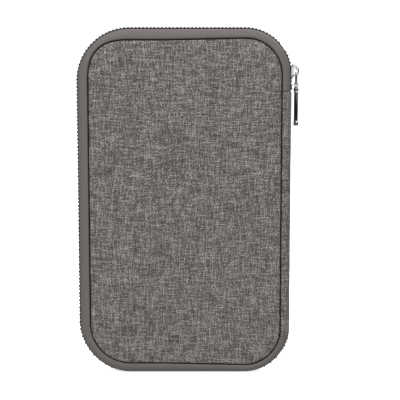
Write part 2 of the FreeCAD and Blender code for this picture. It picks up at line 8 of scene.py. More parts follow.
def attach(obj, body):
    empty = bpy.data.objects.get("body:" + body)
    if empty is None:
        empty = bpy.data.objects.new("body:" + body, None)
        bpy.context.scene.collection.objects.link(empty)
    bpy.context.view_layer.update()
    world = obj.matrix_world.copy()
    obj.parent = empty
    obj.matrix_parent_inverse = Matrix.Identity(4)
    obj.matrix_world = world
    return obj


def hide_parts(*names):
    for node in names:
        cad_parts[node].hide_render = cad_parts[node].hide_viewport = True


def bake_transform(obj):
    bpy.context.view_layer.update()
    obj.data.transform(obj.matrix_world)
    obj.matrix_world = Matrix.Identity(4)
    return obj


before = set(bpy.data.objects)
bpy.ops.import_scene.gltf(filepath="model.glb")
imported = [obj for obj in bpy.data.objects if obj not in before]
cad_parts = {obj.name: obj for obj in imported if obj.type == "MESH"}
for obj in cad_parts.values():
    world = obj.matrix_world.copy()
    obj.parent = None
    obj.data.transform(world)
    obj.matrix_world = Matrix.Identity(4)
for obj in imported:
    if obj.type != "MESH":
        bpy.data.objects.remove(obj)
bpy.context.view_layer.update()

# ---------------------------------------------------------------------------
# Front and back cover pads.
# Each is a panel of heathered polyester plain weave over 2 mm foam, its edge turned
# and sewn down on to the zip tape, so that it stands up out of a narrow seam groove.
# ---------------------------------------------------------------------------
MM = 0.001
CASE_LEFT = -71.7
CASE_RIGHT = 67.3
CASE_HEIGHT = 228.0
LEFT_RADIUS = 34.0
RIGHT_RADIUS = 30.0
CASE_MID_X = (CASE_LEFT + CASE_RIGHT) / 2
CASE_MID_Z = CASE_HEIGHT / 2


def stations(step, fine=None):
    """Places round the case's outer line, from the middle of the spine side upwards and round.
    Each is (x, z, outward x, outward z, radius, distance along); point() gives the place at an inset."""
    top, right, left = CASE_HEIGHT, RIGHT_RADIUS, LEFT_RADIUS
    legs = (
        ("line", CASE_RIGHT, CASE_MID_Z, CASE_RIGHT, top - right, 1, 0),
        ("arc", CASE_RIGHT - right, top - right, right, 0),
        ("line", CASE_RIGHT - right, top, CASE_LEFT + left, top, 0, 1),
        ("arc", CASE_LEFT + left, top - left, left, 90),
        ("line", CASE_LEFT, top - left, CASE_LEFT, left, -1, 0),
        ("arc", CASE_LEFT + left, left, left, 180),
        ("line", CASE_LEFT + left, 0, CASE_RIGHT - right, 0, 0, -1),
        ("arc", CASE_RIGHT - right, right, right, 270),
        ("line", CASE_RIGHT, right, CASE_RIGHT, CASE_MID_Z, 1, 0),
    )
    found, along = [], 0.0
    for leg in legs:
        if leg[0] == "line":
            _, x0, z0, x1, z1, nx, nz = leg
            length = math.hypot(x1 - x0, z1 - z0)
            count = max(2, round(length / step))
            for k in range(count):
                t = k / count
                found.append((x0 + (x1 - x0) * t, z0 + (z1 - z0) * t, nx, nz, 0.0, along + length * t))
        else:
            _, cx, cz, radius, first = leg
            length = radius * math.pi / 2
            beside_spine = fine is not None and first in (0, 270)
            count = round(length / (fine if beside_spine else step))
            for k in range(count):
                turn = math.radians(first + 90 * k / count)
                found.append((cx, cz, math.cos(turn), math.sin(turn), radius, along + length * k / count))
        along += length
    return found


def point(station, inset):
    """The place at an inset. Away from the spine the seam lies up to 1.2 mm further in than beside it,
    and it cuts the upper corner there closer, so that the tape narrows round that corner."""
    x, z, nx, nz, radius, _ = station
    shift = 1.2 * min(1.0, max(0.0, (45.0 - x - nx * radius) / 60))
    if nx < 0 and nz > 0:
        shift -= 2.2 * 4 * nx * nx * nz * nz
    near_seam = min(1.0, max(0.0, (inset - 1.0) / 4.0)) * min(1.0, max(0.0, (20.0 - inset) / 8.0))
    inset += shift * near_seam
    return x + nx * (radius - inset), z + nz * (radius - inset)


def grid_faces(rows, width, closed):
    """Four-sided faces joining rows of points; closed rows are rings."""
    faces = []
    for row in range(rows - 1):
        for k in range(width if closed else width - 1):
            after = (k + 1) % width
            here, above = row * width, (row + 1) * width
            faces.append((here + k, here + after, above + after, above + k))
    return faces


def piece(name, vertices, faces, uvs, material):
    """A mesh object from millimetres, with its cloth coordinates, also in millimetres, in the map "mm"."""
    mesh = bpy.data.meshes.new(name)
    mesh.from_pydata([Vector(v) * MM for v in vertices], [], faces)
    layer = mesh.uv_layers.new(name="mm")
    for loop in mesh.loops:
        layer.data[loop.index].uv = uvs[loop.vertex_index]
    bm = bmesh.new()
    bm.from_mesh(mesh)
    bmesh.ops.remove_doubles(bm, verts=bm.verts, dist=0.005 * MM)
    bmesh.ops.dissolve_degenerate(bm, edges=bm.edges, dist=0.002 * MM)
    loose = [v for v in bm.verts if not v.link_faces]
    bmesh.ops.delete(bm, geom=loose, context="VERTS")
    bmesh.ops.recalc_face_normals(bm, faces=bm.faces)
    bm.to_mesh(mesh)
    bm.free()
    mesh.materials.append(material)
    for face in mesh.polygons:
        face.use_smooth = True
    made = bpy.data.objects.new(name, mesh)
    bpy.context.scene.collection.objects.link(made)
    return made


def colour(code):
    """Linear colour from an sRGB hex code."""
    parts = [int(code[k : k + 2], 16) / 255 for k in (0, 2, 4)]
    return [p / 12.92 if p <= 0.04045 else ((p + 0.055) / 1.055) ** 2.4 for p in parts] + [1]


def new_material(name):
    """A material with nodes, as (material, its node tree, its main shader)."""
    material = bpy.data.materials.new(name)
    material.use_nodes = True
    tree = material.node_tree
    return material, tree, tree.nodes["Principled BSDF"]


def add(tree, kind, settings=None, **inputs):
    """Adds a node. settings are its own fields; inputs are values or sockets,
    by the input's name or by its index, as in i0 and i1."""
    made = tree.nodes.new(kind)
    for key, value in (settings or {}).items():
        setattr(made, key, value)
    for key, value in inputs.items():
        index = int(key[1:]) if key[0] == "i" and key[1:].isdigit() else key.replace("_", " ")
        if isinstance(value, bpy.types.NodeSocket):
            tree.links.new(value, made.inputs[index])
        else:
            made.inputs[index].default_value = value
    return made


def calc(tree, operation, first, second=0.0, third=0.0):
    """The output of one Math node."""
    return add(tree, "ShaderNodeMath", {"operation": operation}, i0=first, i1=second, i2=third).outputs[0]


def heathered_weave(name, dark, middle, light, pitch):
    """Plain weave whose warp and weft each change shade along their length, as slubby two-tone yarn does; its
    colour is darker in the hollows between the threads and lighter on their crowns, as painted shade and painted
    light.
    """
    material, tree, shader = new_material(name)
    place = add(tree, "ShaderNodeUVMap", {"uv_map": "mm"})
    split = add(tree, "ShaderNodeSeparateXYZ", i0=place.outputs[0])
    across, up = split.outputs[0], split.outputs[1]
    column = calc(tree, "DIVIDE", across, pitch)
    line = calc(tree, "DIVIDE", up, pitch)
    column_number = calc(tree, "FLOOR", column)
    line_number = calc(tree, "FLOOR", line)
    shades = []
    # The warp and the weft each mix a slow change of shade, 9 mm long, with a quick one of 1 mm;
    # the scatter sets each thread on its own line of the noise.
    for along, number, shift in ((across, line_number, 0.0), (up, column_number, 900.0)):
        shade = None
        for length, scatter, weight in ((9.0, 13.7, 0.5), (1.0, 31.3, 0.5)):
            vector = add(
                tree, "ShaderNodeCombineXYZ",
                X=calc(tree, "MULTIPLY_ADD", number, 0.371, calc(tree, "DIVIDE", along, length)),
                Y=calc(tree, "MULTIPLY_ADD", number, scatter, shift),
            )
            grain = add(
                tree, "ShaderNodeTexNoise", {"noise_dimensions": "2D"},
                Vector=vector.outputs[0], Scale=1.0, Detail=1.0, Roughness=0.5,
            )
            part = calc(tree, "MULTIPLY", grain.outputs[0], weight)
            shade = part if shade is None else calc(tree, "ADD", shade, part)
        shades.append(shade)
    over = calc(tree, "MODULO", calc(tree, "ADD", calc(tree, "ADD", column_number, line_number), 2000.0), 2.0)
    mixed = add(tree, "ShaderNodeMix", {"data_type": "FLOAT"}, Factor=over, A=shades[0], B=shades[1])
    ramp = add(tree, "ShaderNodeValToRGB", Fac=mixed.outputs[0])
    stops = ramp.color_ramp.elements
    stops[0].position, stops[0].color = 0.34, colour(dark)
    stops[1].position, stops[1].color = 0.66, colour(light)
    stops.new(0.51).color = colour(middle)
    crown = []
    for ratio, other in ((line, column), (column, line)):
        wave = calc(tree, "SINE", calc(tree, "MULTIPLY", calc(tree, "FRACT", ratio), math.pi))
        dip = calc(tree, "SINE", calc(tree, "MULTIPLY", calc(tree, "FRACT", other), math.pi))
        across_thread = calc(tree, "POWER", wave, 0.6)
        along_thread = calc(tree, "MULTIPLY_ADD", dip, 0.35, 0.65)
        crown.append(calc(tree, "MULTIPLY", across_thread, along_thread))
    height = add(tree, "ShaderNodeMix", {"data_type": "FLOAT"}, Factor=over, A=crown[0], B=crown[1])
    # The yarn colour is multiplied by 0.5 to 1.25 after the crown height: painted shade in the hollows between the
    # threads, painted light on their crowns.
    shade = add(
        tree, "ShaderNodeMix", {"data_type": "RGBA", "blend_type": "MULTIPLY"},
        Factor=1.0, i6=ramp.outputs[0], i7=calc(tree, "MULTIPLY_ADD", height.outputs[0], 0.75, 0.5),
    )
    tree.links.new(shade.outputs[2], shader.inputs["Base Color"])
    bump = add(tree, "ShaderNodeBump", Height=height.outputs[0], Strength=0.55, Distance=0.12 * MM)
    tree.links.new(bump.outputs[0], shader.inputs["Normal"])
    shader.inputs["Roughness"].default_value = 0.88
    shader.inputs["Specular IOR Level"].default_value = 0.3
    shader.inputs["Sheen Weight"].default_value = 0.12
    shader.inputs["Sheen Roughness"].default_value = 0.5
    return material


def cover_pad(name, side, material):
    """Rings from the middle of the outer face out to the turned edge, round the tape's
    sewn edge and back under the foam."""
    ring = stations(1.5)
    rings = []
    crown = 11.5
    for share in (0.0, 0.12, 0.3, 0.5, 0.7, 0.86):
        rings.append((27.0, share, crown - 0.12 * share * share))
    for inset, depth in (
        (27.0, 11.36), (22.0, 11.31), (17.0, 11.23), (13.0, 11.12), (10.5, 10.99), (9.0, 10.87), (8.1, 10.73),
        (7.5, 10.6), (7.1, 10.46), (6.84, 10.26), (6.68, 10.0), (6.62, 9.8), (6.6, 9.58),
        (6.8, 9.56), (11.1, 9.56), (11.1, 8.84), (7.1, 8.84), (7.1, 6.94), (27.0, 6.94),
    ):
        rings.append((inset, 1.0, depth))
    rings.append((27.0, 0.0, 6.94))
    vertices, uvs = [], []
    for index, (inset, share, depth) in enumerate(rings):
        for place in ring:
            x, z = point(place, inset)
            x = CASE_MID_X + (x - CASE_MID_X) * share
            z = CASE_MID_Z + (z - CASE_MID_Z) * share
            sag = 0.0
            if depth > 9.8:
                sag = 0.16 * noise.noise(Vector((x / 34, z / 34, 3.0 * side)))
                sag += 0.05 * noise.noise(Vector((x / 7, z / 7, 8.0 * side)))
                pucker = 0.05 * math.sin(place[5] * 2 * math.pi / 4.6) if 6.9 < inset < 10.0 else 0.0
                sag = sag * min(1.0, (depth - 9.8) / 0.7) + pucker
            vertices.append((x, side * (depth + sag), z))
            uvs.append((x, z))
    return piece(name, vertices, grid_faces(len(rings), len(ring), True), uvs, material)


# Dull spun-look yarn, with no gloss and a faint bloom at grazing angles. The threads are drawn
# 0.46 mm apart, coarser than the real 0.3 mm or so, so that they can be seen at all.
cover_cloth = heathered_weave("heathered_polyester_weave", "3b3735", "625c59", "b8b3ae", 0.46)
front_pad = cover_pad("front_cover_pad", -1, cover_cloth)
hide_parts("front_panel", "front_foam")
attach(front_pad, "front_cover")

back_pad = cover_pad("back_cover_pad", 1, cover_cloth)
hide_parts("back_panel", "back_foam")
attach(back_pad, "back_cover")

# ---------------------------------------------------------------------------
# Spine strip.
# The same weave over 1.5 mm foam, one strip bent round the case's fold side, its two
# ends turned under and its long edges sewn into the covers' seams.
# ---------------------------------------------------------------------------
SPINE_LOW = 25.5
SPINE_HIGH = 187.6


def spine_section(flat_x, half_y, crown=0.0):
    """Half-round channel section, front edge to back edge, as x, y points."""
    found = []
    edge_x = 62.2
    for k in range(11):
        turn = math.radians(90 * k / 10)
        found.append((edge_x + (flat_x - edge_x) * math.sin(turn), -4.5 - (half_y - 4.5) * math.cos(turn)))
    for y in (-3.0, -1.5, 0.0):
        found.append((flat_x + crown * (1 - (y / 4.5) ** 2), y))
    return found + [(x, -y) for x, y in reversed(found[:-1])]


def spine_pad(name, material):
    """The strip's closed section lofted from end to end, its two ends rounded and capped."""
    levels = [(0.0, 0.9), (0.12, 0.45), (0.35, 0.2), (0.8, 0.06), (1.6, 0.0)]
    length = SPINE_HIGH - SPINE_LOW
    heights = [(SPINE_LOW + up, drop) for up, drop in levels]
    count = 56
    heights += [(SPINE_LOW + 1.6 + (length - 3.2) * k / count, 0.0) for k in range(1, count)]
    heights += [(SPINE_HIGH - up, drop) for up, drop in reversed(levels)]
    vertices, uvs = [], []
    inner = spine_section(65.3, 7.75)
    for z, drop in heights:
        swell = 0.1 * noise.noise(Vector((z / 16, 2.0, 5.0)))
        outer = spine_section(67.55 - drop + swell, 10.25 - drop + swell, 0.25)
        loop = [(61.62, -7.9), (61.6, -9.0), (61.6, -9.75 + drop * 0.4), (61.78, -10.08 + drop * 0.7)]
        loop += outer + [(x, -y) for x, y in reversed(loop)] + list(reversed(inner))
        width = len(loop)
        run = 0.0
        for k, (x, y) in enumerate(loop):
            if k:
                run += math.hypot(x - loop[k - 1][0], y - loop[k - 1][1])
            vertices.append((x, y, z))
            uvs.append((run, z))
    faces = grid_faces(len(heights), width, True)
    last = (len(heights) - 1) * width
    half = width // 2
    for base in (0, last):
        for k in range(half):
            a, b = k, (k + 1)
            c, d = (2 * half - 1 - k - 1) % width, (2 * half - 1 - k) % width
            if len({a, b, c, d}) == 4:
                faces.append((base + a, base + b, base + c, base + d))
            elif len({a, b, c, d}) == 3:
                faces.append(tuple(base + v for v in dict.fromkeys((a, b, c, d))))
            if b >= c:
                break
    return piece(name, vertices, faces, uvs, material)


spine_strip = spine_pad("spine_strip_pad", cover_cloth)
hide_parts("spine_cloth", "spine_foam")
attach(spine_strip, "spine")

# ---------------------------------------------------------------------------
# Zip tape, front and back.
# Twilled polyester tape, 0.6 mm, sewn under the cover's edge and rolled round the
# case's edge to the teeth. Where the covers fold, the real tape bends with them as a soft gusset;
# here it is one fixed piece, and beside the spine only its sewn leg runs on.
# ---------------------------------------------------------------------------
ZIP_LOW = 25.2
ZIP_HIGH = 187.9


def settle(made):
    """Applies the piece's modifiers, so that its mesh is final."""
    graph = bpy.context.evaluated_depsgraph_get()
    mesh = bpy.data.meshes.new_from_object(made.evaluated_get(graph))
    made.modifiers.clear()
    made.data = mesh


def thicken(made, thickness):
    """Gives an open cloth its thickness, inwards from the side its faces look to."""
    solid = made.modifiers.new("thickness", "SOLIDIFY")
    solid.thickness = thickness * MM
    solid.offset = -1
    solid.use_even_offset = False
    settle(made)


def outward_normals(made, side):
    """Turns every face of an open cloth towards the case's outside."""
    mesh = made.data
    up = sum((face.normal.y * face.area for face in mesh.polygons))
    if up * side < 0:
        mesh.flip_normals()


def zip_tape(name, side, material):
    """The tape's section, from its sewn edge under the cover to the bead at the teeth, carried
    round the case. Beside the spine only the sewn leg runs on."""
    ring = stations(1.6, fine=0.26)
    rows = [
        (11.0, 9.5), (10.0, 9.5), (8.5, 9.5), (7.4, 9.48), (7.0, 9.35), (6.8, 9.15), (6.6, 9.02), (6.4, 8.96),
        (6.2, 8.94), (6.0, 8.96), (5.85, 9.02), (5.75, 9.12), (5.68, 9.5), (5.58, 9.9), (5.4, 10.12), (5.1, 10.26),
    ]
    web_rows = 12
    for k in range(11):
        turn = math.radians(9 * k)
        rows.append((4.7 - 4.25 * math.sin(turn), 4.5 + 5.82 * math.cos(turn)))
    rows += [
        (0.5, 3.8), (0.6, 3.1), (0.62, 2.6), (0.5, 2.15), (0.15, 1.95),
        (-0.2, 1.8), (-0.4, 1.5), (-0.42, 1.2), (-0.3, 0.95),
    ]
    vertices, uvs = [], []
    run = 0.0
    for row, (inset, depth) in enumerate(rows):
        if row:
            run += math.hypot(inset - rows[row - 1][0], depth - rows[row - 1][1])
        for place in ring:
            x, z = point(place, inset)
            if row >= web_rows and place[2] > 0.9 and z < CASE_MID_Z:
                x = max(x, CASE_RIGHT - inset - (RIGHT_RADIUS - inset) * (1 - place[2]))
                z = min(z, ZIP_LOW)
            if row >= web_rows and place[2] > 0.99 and z > CASE_MID_Z:
                z = max(z, ZIP_HIGH)
            z = max(z, 0.0)
            ripple = 0.05 * noise.noise(Vector((place[5] / 9, row / 6, 4.0 * side))) if 15 < row < 27 else 0.0
            vertices.append((x, side * (depth + ripple), z))
            uvs.append((place[5], run))
    count = len(ring)

    def open_here(k):
        x, z = point(ring[k], 0.0)
        return not (x > CASE_MID_X and ZIP_LOW < z < ZIP_HIGH)

    faces = []
    for row in range(len(rows) - 1):
        for k in range(count):
            after = (k + 1) % count
            if row >= web_rows - 1 and not (open_here(k) or open_here(after)):
                continue
            here, above = row * count, (row + 1) * count
            faces.append((here + k, here + after, above + after, above + k))
    made = piece(name, vertices, faces, uvs, material)
    outward_normals(made, side)
    thicken(made, 0.55)
    return made


def twilled_tape(name, base, shade, dark, pitch):
    """Fine diagonal twill: thin ribs slanting across the tape, lighter on the ribs and darker between them
    as painted shade. Two dark bands are painted shade: one in the seam groove, where dark sewing thread
    also runs, and one along the tape's edge beside the teeth, partly standing for the teeth's dark legs."""
    material, tree, shader = new_material(name)
    place = add(tree, "ShaderNodeUVMap", {"uv_map": "mm"})
    split = add(tree, "ShaderNodeSeparateXYZ", i0=place.outputs[0])
    slant = calc(tree, "ADD", split.outputs[0], split.outputs[1])
    rib = calc(tree, "SINE", calc(tree, "MULTIPLY", slant, 2 * math.pi / pitch))
    yarn = add(tree, "ShaderNodeTexNoise", Vector=place.outputs[0], Scale=1.4, Detail=3.0, Roughness=0.6)
    # The colour follows the ribs, lighter on them and darker between them: painted shade.
    tone = calc(tree, "MULTIPLY_ADD", rib, 0.12, yarn.outputs[0])
    mixed = add(
        tree, "ShaderNodeMix", {"data_type": "RGBA"},
        Factor=calc(tree, "SUBTRACT", tone, 0.15), i6=colour(shade), i7=colour(base),
    )
    # Dark band in the seam groove: painted shade, where dark sewing thread also runs.
    off_seam = calc(tree, "ABSOLUTE", calc(tree, "SUBTRACT", split.outputs[1], SEAM_RUN))
    seam_shade = calc(tree, "LESS_THAN", off_seam, 0.62)
    # Dark band along the tape's edge beside the teeth: painted shade, partly standing for the teeth's dark legs.
    edge_shade = calc(tree, "GREATER_THAN", split.outputs[1], EDGE_SHADE_RUN)
    painted_shade = calc(tree, "MAXIMUM", seam_shade, edge_shade)
    final = add(tree, "ShaderNodeMix", {"data_type": "RGBA"}, Factor=painted_shade, i6=mixed.outputs[2], i7=colour(dark))
    tree.links.new(final.outputs[2], shader.inputs["Base Color"])
    bump = add(tree, "ShaderNodeBump", Height=tone, Strength=0.4, Distance=0.05 * MM)
    tree.links.new(bump.outputs[0], shader.inputs["Normal"])
    shader.inputs["Roughness"].default_value = 0.8
    shader.inputs["Specular IOR Level"].default_value = 0.35
    shader.inputs["Sheen Weight"].default_value = 0.1
    return material


# Where the painted shade lies across the tape: 0.62 mm either side of the seam run, in the groove, and everything
# beyond the edge run, beside the teeth.
SEAM_RUN = 5.05
EDGE_SHADE_RUN = 17.3
# The twill is drawn at 0.9 mm, coarser than the real 0.4 mm, so that it can be seen at all.
tape_cloth = twilled_tape("twilled_zip_tape", "787370", "625d5a", "221e1b", 0.9)
front_tape = zip_tape("front_zip_tape", -1, tape_cloth)
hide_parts("front_tape", "front_tape_upper_end", "front_tape_lower_end")
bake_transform(front_tape)

back_tape = zip_tape("back_zip_tape", 1, tape_cloth)
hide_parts("back_tape", "back_tape_upper_end", "back_tape_lower_end")
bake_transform(back_tape)

# ---------------------------------------------------------------------------
# Teeth and end stops.
# Moulded teeth on each tape's edge, near black with a slight warm cast; the stops
# are small blackened clips that close the ends of the chain.
# ---------------------------------------------------------------------------


def plain_surface(name, base, other, roughness, metallic=0.0, scale=900.0, uneven=0.08):
    """A plain moulded, painted or metal surface with a faint change of shade and gloss."""
    material, tree, shader = new_material(name)
    place = add(tree, "ShaderNodeTexCoord")
    grain = add(tree, "ShaderNodeTexNoise", Vector=place.outputs["Object"], Scale=scale, Detail=2.0)
    mixed = add(
        tree, "ShaderNodeMix", {"data_type": "RGBA"},
        Factor=grain.outputs[0], i6=colour(base), i7=colour(other),
    )
    tree.links.new(mixed.outputs[2], shader.inputs["Base Color"])
    gloss = calc(tree, "MULTIPLY_ADD", grain.outputs[0], uneven, roughness - uneven / 2)
    tree.links.new(gloss, shader.inputs["Roughness"])
    shader.inputs["Metallic"].default_value = metallic
    return material


def dress(node, material, edge=0.0):
    """Gives a CAD node its material and, where edge is set, softened edges of that width."""
    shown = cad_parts[node]
    shown.data.materials.clear()
    shown.data.materials.append(material)
    if edge:
        whole = shown.modifiers.new("joined faces", "WELD")
        whole.merge_threshold = 0.002 * MM
        soft = shown.modifiers.new("softened edges", "BEVEL")
        soft.width = edge * MM
        soft.segments = 2
        soft.limit_method = "ANGLE"
        soft.angle_limit = math.radians(40)
        soft.harden_normals = False


# Moulded resin: near black, satin, so that each tooth shows a soft edge.
tooth_resin = plain_surface("moulded_tooth_resin", "120f0d", "1b1714", 0.5)
for node in (
    "front_teeth", "back_teeth",
    "front_teeth_upper_end", "back_teeth_upper_end",
    "front_teeth_lower_end", "back_teeth_lower_end",
):
    dress(node, tooth_resin, edge=0.12)

# Blackened brass: dark metal with a dull gleam.
stop_metal = plain_surface("blackened_brass_stop", "332f2c", "45403b", 0.4, metallic=1.0)
dress("upper_end_stop", stop_metal, edge=0.12)
dress("lower_end_stop", stop_metal, edge=0.12)

# ---------------------------------------------------------------------------
# Slider and pull.
# Die-cast slider, arched cap, wire link, beaded head and end cap, all bright chrome
# plate; the slim bar of the pull between head and end cap is glossy black lacquer.
# ---------------------------------------------------------------------------
# Chrome plate: a near mirror, a little uneven from polishing.
chrome = plain_surface("bright_chrome_plate", "d8d8da", "c6c6c9", 0.12, metallic=1.0, uneven=0.05)
for node, edge in (("slider_body", 0.2), ("slider_cap", 0.33), ("pull_link", 0.0), ("pull_end_cap", 0.1)):
    dress(node, chrome, edge=edge)


def knurled_metal(name, base, groove_shade, axis_x, rounds, pitch):
    """Two crossed sets of slanting grooves rolled round an upright head whose axis stands at axis_x, the grooves
    coloured near black as painted shade.
    """
    material, tree, shader = new_material(name)
    place = add(tree, "ShaderNodeTexCoord")
    split = add(tree, "ShaderNodeSeparateXYZ", i0=place.outputs["Object"])
    off_axis = calc(tree, "SUBTRACT", split.outputs[0], axis_x * MM)
    turn = calc(tree, "MULTIPLY", calc(tree, "ARCTAN2", split.outputs[1], off_axis), rounds)
    climb = calc(tree, "MULTIPLY", split.outputs[2], 2 * math.pi / (pitch * MM))
    right_hand = calc(tree, "COSINE", calc(tree, "ADD", turn, climb))
    left_hand = calc(tree, "COSINE", calc(tree, "SUBTRACT", turn, climb))
    depth = calc(tree, "MAXIMUM", right_hand, left_hand)
    cut = add(tree, "ShaderNodeMapRange", Value=depth)
    cut.inputs[1].default_value = 0.55
    cut.inputs[2].default_value = 0.85
    # The grooves are coloured dark: painted shade in them.
    mixed = add(
        tree, "ShaderNodeMix", {"data_type": "RGBA"},
        Factor=cut.outputs[0], i6=colour(base), i7=colour(groove_shade),
    )
    tree.links.new(mixed.outputs[2], shader.inputs["Base Color"])
    bump = add(tree, "ShaderNodeBump", Height=calc(tree, "SUBTRACT", 1.0, cut.outputs[0]), Strength=0.5)
    bump.inputs["Distance"].default_value = 0.1 * MM
    tree.links.new(bump.outputs[0], shader.inputs["Normal"])
    shader.inputs["Roughness"].default_value = 0.2
    shader.inputs["Metallic"].default_value = 1.0
    return material


# The knurl is drawn at 1.1 mm, coarser than the real 0.5 mm, so that it can be seen at all.
# Its groove colour, 2a2a2b, is painted shade.
knurled_chrome = knurled_metal("knurled_chrome_plate", "c9c9cb", "2a2a2b", 70.9, 8, 1.1)
dress("pull_head", knurled_chrome, edge=0.1)

# Rolled spring steel: grey and softly bright.
spring_steel = plain_surface("spring_steel_strip", "a8a6a3", "8f8d8a", 0.3, metallic=1.0)
dress("lock_spring", spring_steel, edge=0.05)

# Baked lacquer: black, with one clear line of light down it.
lacquer = plain_surface("black_lacquered_bar", "0d0c0d", "171517", 0.22)
dress("pull_bar", lacquer, edge=0.1)

# ---------------------------------------------------------------------------
# Boards.
# 1 mm grey board inside each cover, between the foam and the lining.
# ---------------------------------------------------------------------------
# Pressed millboard: matt, slightly clouded grey.
grey_board = plain_surface("grey_millboard", "8b857c", "736e66", 0.9, scale=350.0)
dress("front_board", grey_board)
dress("back_board", grey_board)

# ---------------------------------------------------------------------------
# Linings.
# Charcoal plain-weave polyester glued over each board; beside the fold each lining
# runs on as a slack strip to the spine's own lining, so that the covers can open.
# ---------------------------------------------------------------------------


def fine_cloth(name, base, shade, pitch):
    """Close plain-woven lining cloth: small square crowns of warp and weft, the colour lighter where they stand up
    and darker where they sink, as painted shade.
    """
    material, tree, shader = new_material(name)
    place = add(tree, "ShaderNodeUVMap", {"uv_map": "mm"})
    split = add(tree, "ShaderNodeSeparateXYZ", i0=place.outputs[0])
    waves = [
        calc(tree, "SINE", calc(tree, "MULTIPLY", split.outputs[k], math.pi / pitch)) for k in (0, 1)
    ]
    crown = calc(tree, "MULTIPLY", waves[0], waves[1])
    cloud = add(tree, "ShaderNodeTexNoise", Vector=place.outputs[0], Scale=0.9, Detail=3.0)
    # The crowns also set the colour, a little darker where the cloth sinks: painted shade.
    tone = calc(tree, "MULTIPLY_ADD", crown, 0.16, cloud.outputs[0])
    mixed = add(tree, "ShaderNodeMix", {"data_type": "RGBA"}, Factor=tone, i6=colour(shade), i7=colour(base))
    tree.links.new(mixed.outputs[2], shader.inputs["Base Color"])
    bump = add(tree, "ShaderNodeBump", Height=crown, Strength=0.4, Distance=0.05 * MM)
    tree.links.new(bump.outputs[0], shader.inputs["Normal"])
    shader.inputs["Roughness"].default_value = 0.75
    shader.inputs["Sheen Weight"].default_value = 0.15
    return material


def cover_lining(name, side, material):
    """Flat cloth to the cover's inner outline, its rim turned round the board's edge."""
    ring = stations(2.5)
    rings = [(27.0, share) for share in (0.0, 0.25, 0.5, 0.75)] + [
        (inset, 1.0) for inset in (27.0, 20.0, 14.0, 10.0, 8.4, 7.6, 7.25, 7.12)
    ]
    vertices, uvs = [], []
    for inset, share in rings:
        for place in ring:
            x, z = point(place, inset)
            x = CASE_MID_X + (x - CASE_MID_X) * share
            z = CASE_MID_Z + (z - CASE_MID_Z) * share
            turned = 0.18 * max(0.0, 1 - (inset - 7.1) / 0.6) if share == 1.0 else 0.0
            vertices.append((x, side * (5.52 + turned), z))
            uvs.append((x, z))
    made = piece(name, vertices, grid_faces(len(rings), len(ring), True), uvs, material)
    outward_normals(made, -side)
    thicken(made, 0.34)
    return made


def fold_strip(name, side, material):
    """The slack strip beside the fold, in section a shallow S from the cover's lining to the spine's."""
    section = [
        (59.3, 5.44), (59.8, 5.42), (60.3, 5.3), (60.8, 5.15), (61.3, 5.15), (61.75, 5.35),
        (62.05, 5.75), (62.2, 6.25), (62.3, 6.75), (62.45, 7.1), (62.8, 7.3),
    ]
    vertices, uvs = [], []
    low, high, count = 26.5, 186.6, 64
    for k in range(count + 1):
        z = low + (high - low) * k / count
        run = 0.0
        for j, (x, y) in enumerate(section):
            if j:
                run += math.hypot(x - section[j - 1][0], y - section[j - 1][1])
            vertices.append((x, side * y, z))
            uvs.append((run, z))
    made = piece(name, vertices, grid_faces(count + 1, len(section), False), uvs, material)
    outward_normals(made, -side)
    thicken(made, 0.3)
    return made


# The lining's threads are drawn at 0.5 mm, about twice the real 0.25 mm, so that they can be seen.
lining_cloth = fine_cloth("charcoal_lining_cloth", "4f4c49", "393633", 0.5)
front_fold = fold_strip("front_fold_lining", -1, lining_cloth)
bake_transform(front_fold)
front_lining = cover_lining("front_lining_cloth", -1, lining_cloth)
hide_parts("front_lining")
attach(front_lining, "front_cover")

back_fold = fold_strip("back_fold_lining", 1, lining_cloth)
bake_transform(back_fold)
back_lining = cover_lining("back_lining_cloth", 1, lining_cloth)
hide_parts("back_lining")
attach(back_lining, "back_cover")


def spine_liner(name, material):
    """The spine's lining: one strip bent to the inside of the spine strip."""
    section = [(61.9, -7.55)] + spine_section(65.0, 7.55)[1:-1] + [(61.9, 7.55)]
    vertices, uvs = [], []
    low, high, count = 25.7, 187.4, 40
    for k in range(count + 1):
        z = low + (high - low) * k / count
        run = 0.0
        for j, (x, y) in enumerate(section):
            if j:
                run += math.hypot(x - section[j - 1][0], y - section[j - 1][1])
            vertices.append((x, y, z))
            uvs.append((run, z))
    made = piece(name, vertices, grid_faces(count + 1, len(section), False), uvs, material)
    thicken(made, 0.3)
    return made


spine_lining = spine_liner("spine_lining_cloth", lining_cloth)
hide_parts("spine_lining")
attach(spine_lining, "spine")

# ---------------------------------------------------------------------------
# Pockets.
# Charcoal nylon pocket fronts lying on the linings: document and passport pockets in
# the front cover, a ticket pocket and four stepped card slots in the back cover.
# ---------------------------------------------------------------------------


def pocket_front(name, side, depth, x0, x1, z0, z1, material):
    """A pocket front, hemmed all round: thin cloth with a little fullness in the middle."""
    across, up = 34, 30
    vertices, uvs = [], []
    for j in range(up + 1):
        for i in range(across + 1):
            x = x0 + (x1 - x0) * i / across
            z = z0 + (z1 - z0) * j / up
            rim = min(x - x0, x1 - x, z - z0, z1 - z)
            fullness = 0.06 * min(1.0, rim / 12) * noise.noise(Vector((x / 30, z / 30, depth)))
            vertices.append((x, side * (depth + 0.02 + max(-0.02, fullness)), z))
            uvs.append((x, z))
    made = piece(name, vertices, grid_faces(up + 1, across + 1, False), uvs, material)
    outward_normals(made, -side)
    thicken(made, 0.4)
    return made


